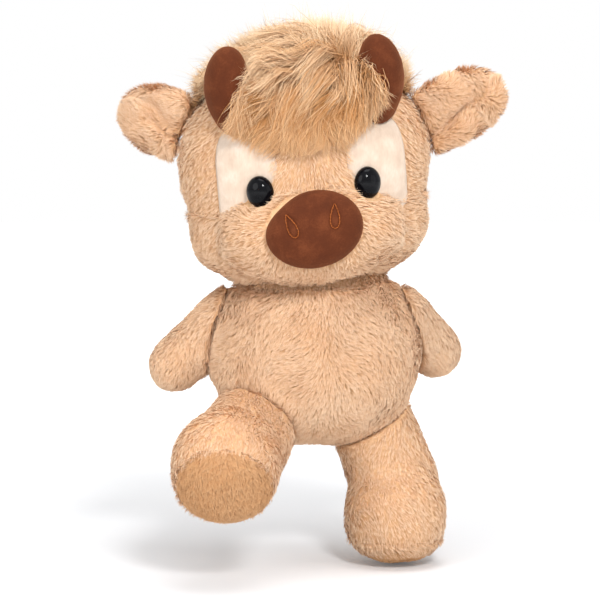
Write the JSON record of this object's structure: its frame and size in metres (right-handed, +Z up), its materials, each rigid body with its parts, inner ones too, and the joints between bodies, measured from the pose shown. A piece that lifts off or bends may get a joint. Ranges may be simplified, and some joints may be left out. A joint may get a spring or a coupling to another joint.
{
  "type": "plush cow",
  "caption": "Stuffed plush cow standing upright on one leg with the other lifted, big round head with suede nose and horns, glossy eyes, soft ears and a long-pile forelock; sewn limbs swing",
  "frame": {"origin": "middle of the part's box, on the floor under the standing foot", "axes": "+Z is up, -Y is the way the toy faces and +X is the toy's side at the right of the picture, where the standing leg is"},
  "size_m": [0.2334, 0.1752, 0.3253],
  "materials": {
    "plush": "tan polyester plush, dense medium pile, matt",
    "velboa": "cream velboa, very short pile, matt",
    "sole": "tan plush with its short pile combed down, slightly darker than the rest",
    "suede": "brown faux suede, matt",
    "long_pile": "tan faux fur with a long tousled pile",
    "thread": "orange-brown embroidery thread",
    "eye": "black moulded plastic, polished",
    "washer": "natural white moulded plastic",
    "stuffing": "white polyester fibrefill"
  },
  "bodies": {
    "torso": {"torso_skin": "plush", "torso_stuffing": "stuffing"},
    "head": {"crown_skin": "plush", "cheek_skin": "plush", "head_stuffing": "stuffing", "eye_patch_left": "velboa", "eye_patch_right": "velboa", "eye_left": "eye", "eye_right": "eye", "eye_washer_left": "washer", "eye_washer_right": "washer", "nose_pad": "suede", "nostril_left": "thread", "nostril_right": "thread", "horn_left": "suede", "horn_right": "suede", "forelock": "long_pile"},
    "ear_left": {"ear_left": "plush"},
    "ear_right": {"ear_right": "plush"},
    "arm_left": {"arm_left_skin": "plush", "arm_left_stuffing": "stuffing"},
    "arm_right": {"arm_right_skin": "plush", "arm_right_stuffing": "stuffing"},
    "leg_left": {"leg_left_skin": "plush", "foot_left_sole": "sole", "leg_left_stuffing": "stuffing"},
    "leg_right": {"leg_right_skin": "plush", "foot_right_sole": "sole", "leg_right_stuffing": "stuffing"},
    "tail": {"tail": "plush", "tail_tuft": "long_pile"}
  },
  "joints": [
    {"name": "neck_turn", "type": "hinge", "parent": "torso", "child": "head", "pos_m": [-0.00163, 0.02209, 0.1675], "axis": [0, 0, 1], "range_deg": [-30, 30]},
    {"name": "ear_left_fold", "type": "hinge", "parent": "head", "child": "ear_left", "pos_m": [-0.06818, 0.01994, 0.25991], "axis": [0.0872, 0, -0.9962], "range_deg": [-15, 15], "stiffness_Nm_per_rad": 0.01},
    {"name": "ear_right_fold", "type": "hinge", "parent": "head", "child": "ear_right", "pos_m": [0.06684, 0.02465, 0.2647], "axis": [-0.0872, 0, 0.9962], "range_deg": [-15, 15], "stiffness_Nm_per_rad": 0.01},
    {"name": "arm_left_swing", "type": "hinge", "parent": "torso", "child": "arm_left", "pos_m": [-0.04913, 0.02209, 0.152], "axis": [-0.906, 0, 0.4232], "range_deg": [-45, 60]},
    {"name": "arm_right_swing", "type": "hinge", "parent": "torso", "child": "arm_right", "pos_m": [0.05287, 0.02209, 0.152], "axis": [-0.906, 0, -0.4232], "range_deg": [-3, 102]},
    {"name": "leg_left_swing", "type": "hinge", "parent": "torso", "child": "leg_left", "pos_m": [-0.01763, 0.02209, 0.1235], "axis": [-1, 0, 0], "range_deg": [-84, 18]},
    {"name": "leg_right_swing", "type": "hinge", "parent": "torso", "child": "leg_right", "pos_m": [0.02137, 0.02209, 0.1235], "axis": [-1, 0, 0], "range_deg": [-30, 72]},
    {"name": "tail_swing", "type": "hinge", "parent": "torso", "child": "tail", "pos_m": [0.00187, 0.07809, 0.1235], "axis": [1, 0, 0], "range_deg": [0, 60]}
  ]
}
